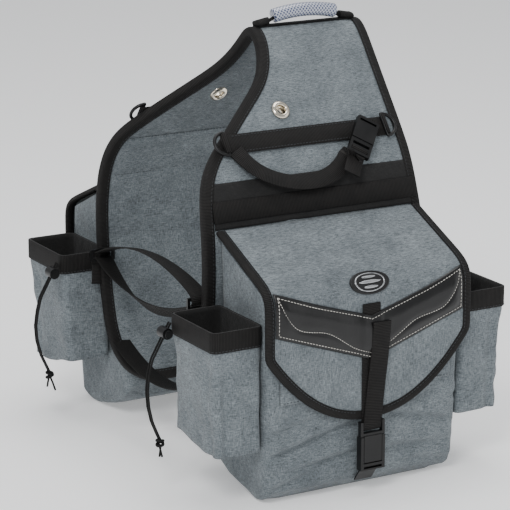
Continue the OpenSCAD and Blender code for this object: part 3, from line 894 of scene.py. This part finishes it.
def make_flap(half, side, seed):
    body = half + "_flap"

    def ride(obj):
        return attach(obj, body)

    rows, cols = 70, 61

    def lid_points(i, j):
        x = lerp(-FLAP_HALF + 1.5, FLAP_HALF - 1.5, j / (cols - 1))
        total = FLAP.find_z(flap_edge_z(x)) - 1.5
        s = i / (rows - 1) * total
        return FLAP.at(x, s, FLAP_T + flap_puff(x, s, total, seed)), FLAP.at(x, s, 0.5)

    lid = ride(fix_normals(put(half + "_flap", shell(rows, cols, lid_points), "bag_fabric", side)))
    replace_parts(lid, half + "_flap")

    # binding: down one side, round the lower edge, up the other
    side_end = FLAP.find_z(flap_edge_z(FLAP_HALF))
    path = [Vector((-FLAP_HALF, side_end * k / 40)) for k in range(41)]
    for k in range(1, 80):
        x = lerp(-FLAP_HALF, FLAP_HALF, k / 80)
        path.append(Vector((x, FLAP.find_z(flap_edge_z(x)))))
    path += [Vector((FLAP_HALF, side_end * (1 - k / 40))) for k in range(41)]
    path = smoothed(resample(path, 4.0), 3)
    pts, frames, seam, seam_n = [], [], [], []
    for i, p in enumerate(path):
        t = tangent(path, i)
        inward = Vector((t.y, -t.x))
        pts.append(FLAP.at(p.x, p.y))
        frames.append(((EX * inward.x + FLAP.along(p.y) * inward.y).normalized(), FLAP.normal(p.y)))
        q = p + inward * 8.6
        seam.append(FLAP.at(q.x, q.y, FLAP_T + 0.75))
        seam_n.append(FLAP.normal(q.y))
    w, hi, lo = 11.0, FLAP_T + 0.6, 0.0
    section = [(w, hi - 0.9), (w, hi), (1.5, hi), (-0.2, hi - 1.2), (-0.6, FLAP_T / 2), (-0.2, lo + 1.1),
               (1.5, lo), (w, lo), (w, lo + 0.4), (1.8, lo + 0.6), (0.8, FLAP_T / 2), (1.8, hi - 1.0)]
    bind = ride(fix_normals(put(half + "_flap_binding", sweep(pts, frames, section), "binding", side)))
    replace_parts(bind, half + "_flap_binding")
    middle = len(seam) // 2
    sides = slice(0, middle - 5), slice(middle + 6, None)  # the buckle slides over the gap
    rows = [stitches(seam[part], seam_n[part], 4.6, 3.1) for part in sides]
    ride(put(half + "_flap_binding_stitches", merged(rows), "thread_dark", side))

    # V-shaped trim with light stitching
    def top_z(x):
        return 229 + 41 * min(1, abs(x) / 134)

    def low_z(x):
        return 173 + 46 * min(1, abs(x) / 134)

    def wave_z(x):
        """The decorative line: dips at the middle, swells, then climbs to the upper corners."""
        f = abs(x) / 130
        swell = lerp(9, 21, ease((f - 0.12) / 0.38)) - 4 * ease((f - 0.5) / 0.25)
        return lerp(low_z(x) + swell, top_z(x) - 4, max(0.0, (f - 0.76) / 0.24) ** 2.2)

    def vee_height(x, z):
        top, low = top_z(x), low_z(x)
        f, line_f = (top - z) / (top - low), (top - wave_z(x)) / (top - low)
        pad = ease(min(f, 1 - f) / 0.3) * ease((134 - abs(x)) / 16)
        ditch = 1.7 * math.exp(-((f - line_f) / 0.07) ** 2)
        pad *= 2.4 + 1.3 * ease((abs(x) - 22) / 25) - ditch
        return 1.9 + 1.5 * ease((17 - abs(x)) / 5) + pad + wobble(x, z, 0, 26, seed) * 0.3

    def vee_points(i, j):
        x = lerp(-134, 134, j / 108)
        z = lerp(top_z(x), low_z(x), i / 24)
        s = flap_s(z)
        edge = 0.6 if i in (0, 24) or j in (0, 108) else 0.0
        return FLAP.at(x, s, FLAP_T + vee_height(x, z) - edge), FLAP.at(x, s, FLAP_T + 0.1)

    vee = ride(fix_normals(put(half + "_flap_chevron", shell(25, 109, vee_points), "leatherette", side)))
    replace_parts(vee, half + "_flap_chevron")

    def vee_stitches(points, pitch, length):
        """Light thread along (x, z) points of the trim."""
        line = [FLAP.at(x, flap_s(z), FLAP_T + vee_height(x, z) + 0.1) for x, z in points]
        return stitches(line, [FLAP.normal(flap_s(z)) for _, z in points], pitch, length, 0.9, 0.5)

    rows = []
    for line_z, pitch in ((lambda x: top_z(x) - 4.0, 4.4), (lambda x: low_z(x) + 4.0, 4.4), (wave_z, 3.6)):
        xs = [lerp(-130, 130, j / 299) for j in range(300)]
        rows.append(vee_stitches([(x, line_z(x)) for x in xs], pitch, pitch * 0.72))
    for x in (-130, 130):
        ends = [(x, lerp(low_z(x) + 4, top_z(x) - 4, k / 30)) for k in range(31)]
        rows.append(vee_stitches(ends, 4.4, 3.0))
    ride(put(half + "_chevron_stitches", merged(rows), "thread_light", side))

    # blank oval badge: black dome, a pale inner ring and plain pale bars, on the bend of the flap
    centre_s = FLAP.find_z(266)

    def oval(tag, rings, mat, cap):
        n = 56
        turns = [2 * math.pi * k / n for k in range(n)]
        verts = [FLAP.at(27.5 * scale * math.cos(a), centre_s - 12.5 * scale * math.sin(a), FLAP_T + h)
                 for scale, h in rings for a in turns]
        faces = ring_quads(len(rings), n)
        if cap:
            last, tip = (len(rings) - 1) * n, len(verts)
            verts.append(FLAP.at(0, centre_s, FLAP_T + rings[-1][1]))
            faces += [(last + k, last + (k + 1) % n, tip) for k in range(n)]
        return ride(fix_normals(put(f"{half}_badge_{tag}", (verts, faces, None), mat, side)))

    dome = oval("dome", [(1.0, 0.2), (1.0, 2.2), (0.965, 2.9), (0.91, 3.1), (0.86, 2.7), (0.83, 2.2),
                         (0.6, 2.3), (0.3, 2.4)], "badge", True)
    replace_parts(dome, half + "_flap_badge")
    oval("ring", [(0.77, 2.2), (0.77, 2.75), (0.70, 2.8), (0.70, 2.25)], "badge_face", False)
    verts, faces = [], []
    for dz, reach in ((5.0, 9.5), (0.0, 15.5), (-5.0, 9.5)):
        base, bars = len(verts), 9
        for k in range(bars):
            x = lerp(-reach, reach, k / (bars - 1))
            thin = 1.5 * math.sqrt(max(0.06, 1 - (x / reach) ** 2))
            for ds, h in ((-thin, 2.2), (-thin * 0.7, 2.95), (thin * 0.7, 2.95), (thin, 2.2)):
                verts.append(FLAP.at(x, centre_s - dz + ds, FLAP_T + h))
        for k in range(bars - 1):
            faces += [(base + k * 4 + q, base + k * 4 + q + 1, base + k * 4 + 5 + q, base + k * 4 + 4 + q)
                      for q in range(3)]
    ride(fix_normals(put(f"{half}_badge_bars", (verts, faces, None), "badge_face", side)))

    # closing strap: sewn tab, run under the trim, round the ladder bar, tail back up
    y0 = 267.5 + FLAP_T
    run = [Vector((x, y0 + lift, z)) for x, lift, z in (
        (0, 0.95, 244), (0, 0.95, 180), (0, 1.0, 130), (0, 1.2, 104), (0, 0.8, 94), (0, 0.2, 88.5),
        (0, 1.4, 85.0), (0, 3.4, 84.4), (0, 5.6, 86.5), (0, 6.2, 92), (1.5, 5.2, 102), (4, 4.2, 122),
        (7, 4.4, 150), (10, 5.4, 180), (11.5, 6.0, 205), (12, 6.8, 221))]
    data = tape(resample(rounded(run, 2), 3.0), EX)
    strap = fix_normals(put(half + "_flap_strap", data, "webbing", side))
    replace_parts(strap, half + "_flap_strap")
    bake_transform(strap)


# ----------------------------------------------------------- side pockets
POCKET_X, POCKET_Y, POCKET_TOP, POCKET_LOW = 34, 52.75, 232, 74
UP = Vector((0, 0, 1))


def make_pockets(half, side, seed, ride):
    for tag, sx in (("left", -1), ("right", 1)):
        ring = ring_points(POCKET_X, POCKET_Y, 8, 20, 4)

        def place(p, z, q=1.0, extra=0.0):
            """Point p of the ring at height z, drawn in by q and out by extra millimetres."""
            t = (z - POCKET_LOW) / (POCKET_TOP - POCKET_LOW)
            rise = 12 * ease((0.35 - p.y / POCKET_Y) / 1.3) * max(0.0, min(1.0, (205 - z) / 131))
            cx = sx * (143 + 33.5 - (1 - t) * 3.5)
            hx = 33.5 - (1 - t) * 1.5
            x, y = p.x / POCKET_X * q, p.y / POCKET_Y * q
            outside = ease((sx * x - 0.4) / 0.5)
            px = cx + x * (hx + extra)
            py = 204.25 + y * (POCKET_Y + extra) - (1 - t) * 1.5
            around = math.atan2(y * 0.6, x)
            gather = 1.3 * math.sin(around * 17 + 2.2 * wobble(px, py, z, 60, seed)) * ease((z - 150) / 60)
            sag = wobble(px, py, z, 38, seed + sx) * 4.2 + wobble(px, py, z, 16, seed) * 1.4 + gather - 0.6
            low = ease((205 - z) / 30)
            px += sx * outside * (sag - 1.0) * low
            py += (1 if y > 0.8 else 0) * (sag * 0.6 - 1.2) * low
            # crease near the outer front corner, and the front face folds in beside it
            px -= sx * outside * 3.0 * math.exp(-((py - 236) / 5) ** 2) * low
            if y > 0.8:
                py -= 4.5 * math.exp(-((sx * x - 0.52) / 0.2) ** 2) * low
            return Vector((px, py, z + rise))

        rings = [[place(p, lerp(POCKET_TOP, POCKET_LOW, i / 26)) for p in ring] for i in range(27)]
        base = [[place(p, POCKET_LOW - (3 if q < 0.9 else 1), q) for p in ring] for q in (0.93, 0.7, 0.4)]
        for row in base:
            for point in row:
                point.z = max(point.z, 72.0)
        base.append(place(Vector((0, 0)), 71.5, 0))
        pocket = put(f"{half}_side_pocket_{tag}", loft(rings, base), "bag_fabric", side)
        pocket.data.materials.append(M["black_fabric"])
        mod = thicken(pocket, 1.8).modifiers["wall"]
        mod.material_offset = mod.material_offset_rim = 1
        ride(pocket)
        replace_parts(pocket, f"{half}_side_pocket_{tag}")
        rim = [place(p, 219.5, 1, 0.9) for p in ring]
        frames = []
        for i in range(len(rim)):
            t = (rim[(i + 1) % len(rim)] - rim[i - 1]).normalized()
            frames.append((UP, t.cross(UP)))
        data = sweep(rim, frames, tape_section(INCH, 1.5), closed=True)
        band = ride(fix_normals(put(f"{half}_pocket_band_{tag}", data, "webbing", side)))
        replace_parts(band, f"{half}_pocket_band_{tag}")
        seam = [place(p, 209.0, 1, 1.75) for p in ring]
        middle = Vector((sx * 176, 204, 219))
        nrm = [n * (1 if n.dot(p - middle) > 0 else -1) for p, (_, n) in zip(rim, frames)]
        ride(put(f"{half}_band_stitches_{tag}", stitches(seam + [seam[0]], nrm + [nrm[0]], 4.5, 3.0),
                 "thread_dark", side))


for half_name, half_side in (("near", -1), ("far", 1)):
    make_half(half_name, half_side)


# --------------------------------------------------------------- the rest
def smooth_cad(node, mat, bevel=0.5):
    """A carried-over CAD node: softened edges and a procedural material."""
    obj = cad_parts[node]
    obj.data.materials.clear()
    obj.data.materials.append(M[mat])
    if bevel:
        mod = obj.modifiers.new("soft_edges", "BEVEL")
        mod.width, mod.segments, mod.limit_method, mod.angle_limit = bevel * MM, 2, "ANGLE", 0.6
        mod.harden_normals = True
    for poly in obj.data.polygons:
        poly.use_smooth = True
    return obj


for h in ("near", "far"):
    for name in ("d_ring_left", "d_ring_right"):
        smooth_cad(f"{h}_{name}", "buckle_plastic", 0)
    for name in ("cargo_buckle_male", "cargo_buckle_female", "flap_buckle_male", "flap_buckle_female"):
        smooth_cad(f"{h}_{name}", "buckle_plastic", 0.7)
    for name in ("cord_lock", "cord_button"):
        smooth_cad(f"{h}_{name}", "buckle_plastic", 0.4)
for name in ("girth_ring_near", "girth_ring_far"):
    smooth_cad(name, "buckle_plastic", 0.6)
smooth_cad("handle_anchor", "webbing", 0.4)
smooth_cad("handle_strap", "webbing", 0)

# handle grip: clear tube, cut square at its ends, over a diamond net
HANDLE_X, TUBE_HALF, TUBE_R, GRIP_SIDES, SLEEVE_SIDES = 67, 44.5, 9.0, 32, 24
grip = [Vector((HANDLE_X + x, 0, 554 + 3.2 * (1 - (x / 36) ** 2)))
        for x in [lerp(-TUBE_HALF, TUBE_HALF, k / 32) for k in range(33)]]
first, last = (grip[0] - grip[1]).normalized(), (grip[-1] - grip[-2]).normalized()
line = [grip[0] + first * 0.9, grip[0] + first * 0.85, *grip, grip[-1] + last * 0.85, grip[-1] + last * 0.9]
radii = [3.0, TUBE_R - 0.9, *[TUBE_R] * len(grip), TUBE_R - 0.9, 3.0]
verts, faces, uvs = tube(line, 1.0, GRIP_SIDES)
verts = [line[i // GRIP_SIDES] + (v - line[i // GRIP_SIDES]) * radii[i // GRIP_SIDES]
         for i, v in enumerate(verts)]
uvs = [(u, (i % GRIP_SIDES) / GRIP_SIDES * 0.0565) for i, (u, _) in enumerate(uvs)]
grip_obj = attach(put("handle_grip", (verts, faces, uvs), "handle_grip"), "handle")
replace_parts(grip_obj, "handle_tube")

# the webbing folded round each end of the handle's strap, sewn down on the ridge
for tag, sx in (("left", -1), ("right", 1)):
    sleeve = [Vector((HANDLE_X + sx * x, 0, z))
              for x, z in ((53, 546.5), (57, 546.2), (61, 545.6), (66, 544.9), (71, 544))]
    verts, faces, uvs = tube(sleeve, 1.0, SLEEVE_SIDES)
    flat = []
    for i, v in enumerate(verts):
        n = i // SLEEVE_SIDES
        d = v - sleeve[n]
        flat.append(sleeve[n] + Vector((d.x, d.y * (5.0 + 0.9 * n), d.z * (5.0 - 0.25 * n))))
    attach(put(f"handle_sleeve_{tag}", (flat, faces, uvs), "webbing"), "near_half")


# straps that join the halves at their front edges: the upper one is doubled through both rings
GIRTH_HALF = 129


def sling(w, z, sag, n=24):
    return [Vector((0, w * k / n, z - sag * (1 - (k / n) ** 2))) for k in range(-n, n + 1)]


up_run = []
for k in range(24, -25, -1):
    y = GIRTH_HALF * k / 24
    gone = GIRTH_HALF - y
    arch = 25 * math.sin(math.pi * gone / 258) ** 0.8
    up_run.append(Vector((-160, y, 236 + 7 * gone / 258 + arch)))
low_run = [p + Vector((-159 - 4 * (1 - (p.y / GIRTH_HALF) ** 2), 0, 0)) for p in sling(GIRTH_HALF, 229, 34)]
lead = [Vector(p) for p in ((-160, 136, 234), (-160, 134.5, 237))]
turn_near = [Vector(p) for p in ((-160, -133.5, 240), (-160, -136.4, 236), (-160, -134, 230))]
turn_far = [Vector(p) for p in ((-160, 133.5, 228), (-160, 137.2, 229), (-160, 138.4, 222),
                                (-161, 136.5, 208), (-163, 134.5, 192))]
path = resample(rounded(lead + up_run + turn_near + low_run + turn_far, 1), 4.0)
leans = []
for p in path:
    across = max(0, min(1, (p.y + GIRTH_HALF) / 258))
    lean = 0.85 * math.sin(math.pi * across) * (1 if p.z < 232 else 0.3)
    leans.append(Vector((math.cos(lean), 0, -math.sin(lean))))
widths = []
for i in range(len(leans)):
    around = (leans[max(0, min(len(leans) - 1, i + k))] for k in range(-3, 4))
    widths.append(sum(around, Vector()).normalized())
upper = fix_normals(put("girth_strap_upper", tape(path, widths, 24), "webbing"))
lower_path = [p + Vector((-145.3, 0, 0)) for p in sling(111, 118, 26)]
lower = fix_normals(put("girth_strap_lower", tape(resample(lower_path, 4.0), EX), "webbing"))
for strap, name in ((upper, "girth_strap_upper"), (lower, "girth_strap_lower")):
    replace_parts(strap, name)
    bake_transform(strap)

# drawcords: two strands from the outlet, a knot and two tails
OUTLET = Vector((-214, 157, 222))
CORD_DIR = Vector((-0.5, 0, -0.866))
ROUTE = [CORD_DIR * 0, CORD_DIR * 18, CORD_DIR * 36, CORD_DIR * 50, Vector((-30, 0, -62)),
         Vector((-32.5, 1, -82)), Vector((-31, 1, -102)), Vector((-26, 0, -122)), Vector((-19, -1, -138)),
         Vector((-15, -1, -147))]
CORD_R, KNOT_R, CORD_SIDES = 1.3, 1.9, 10
TAILS = (("a", [(-14.5, -3, -154), (-12, -5, -162), (-9, -6, -172)]),
         ("b", [(-14.5, 1, -154), (-16, 2, -162), (-17, 2, -168)]))
for h, side in (("near", -1), ("far", 1)):
    def cord_piece(name, points, radius=CORD_R):
        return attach(put(f"{h}_{name}", tube(points, radius, CORD_SIDES), "cord", side), h + "_half")

    cords = []
    for tag, off in (("a", -2.6), ("b", 2.6)):
        route = resample([OUTLET + p + Vector((0, off, 0)) for p in ROUTE], 4.0)
        length = sum((b - a).length for a, b in zip(route, route[1:])) * MM
        cords.append((cord_piece("drawcord_" + tag, route), route, length))
    centre = OUTLET + Vector((-14.5, -1, -151))
    turns = []
    for k in range(33):
        a = 2 * math.pi * k / 16
        rise = 3.6 * math.sin(a * 0.5 + 0.4) * (1 if k % 2 else 0.9)
        turns.append(centre + Vector((4.0 * math.cos(a), 4.0 * math.sin(a) * 0.9, rise)))
    knot = cord_piece("cord_knot", turns, KNOT_R)
    tails = [cord_piece("cord_tail_" + tag, [OUTLET + Vector(p) for p in points]) for tag, points in TAILS]
    for piece in (cords[0][0], cords[1][0], knot, *tails):
        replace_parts(piece, h + "_drawcord")

# ------------------------------------------------------------------- stage
floor_mesh = bpy.data.meshes.new("floor")
floor_mesh.from_pydata([(-6, -6, 0), (6, -6, 0), (6, 6, 0), (-6, 6, 0)], [], [(0, 1, 2, 3)])
floor_mat, _, floor_shader = new_mat("floor", (0.93, 0.93, 0.93), 0.9)
floor_shader.inputs["Emission Color"].default_value = (1, 1, 1, 1)
floor_shader.inputs["Emission Strength"].default_value = 0.3
floor_mesh.materials.append(floor_mat)
floor = bpy.data.objects.new("floor", floor_mesh)
bpy.context.scene.collection.objects.link(floor)
world = bpy.data.worlds.new("studio")
bpy.context.scene.world = world
world.use_nodes = True
world.node_tree.nodes["Background"].inputs["Color"].default_value = (0.95, 0.97, 1.0, 1)
world.node_tree.nodes["Background"].inputs["Strength"].default_value = 0.55
for name, at, size, power in (("key", (-1.9, -2.0, 2.5), 1.0, 62), ("fill", (2.4, -1.8, 1.0), 1.6, 10),
                              ("top", (0.3, 0.3, 2.9), 2.0, 46)):
    light = bpy.data.lights.new(name, "AREA")
    light.energy, light.size = power, size
    obj = bpy.data.objects.new(name, light)
    obj.location = at
    obj.rotation_euler = (Vector(at) - Vector((0, 0, 0.3))).to_track_quat("Z", "Y").to_euler()
    bpy.context.scene.collection.objects.link(obj)
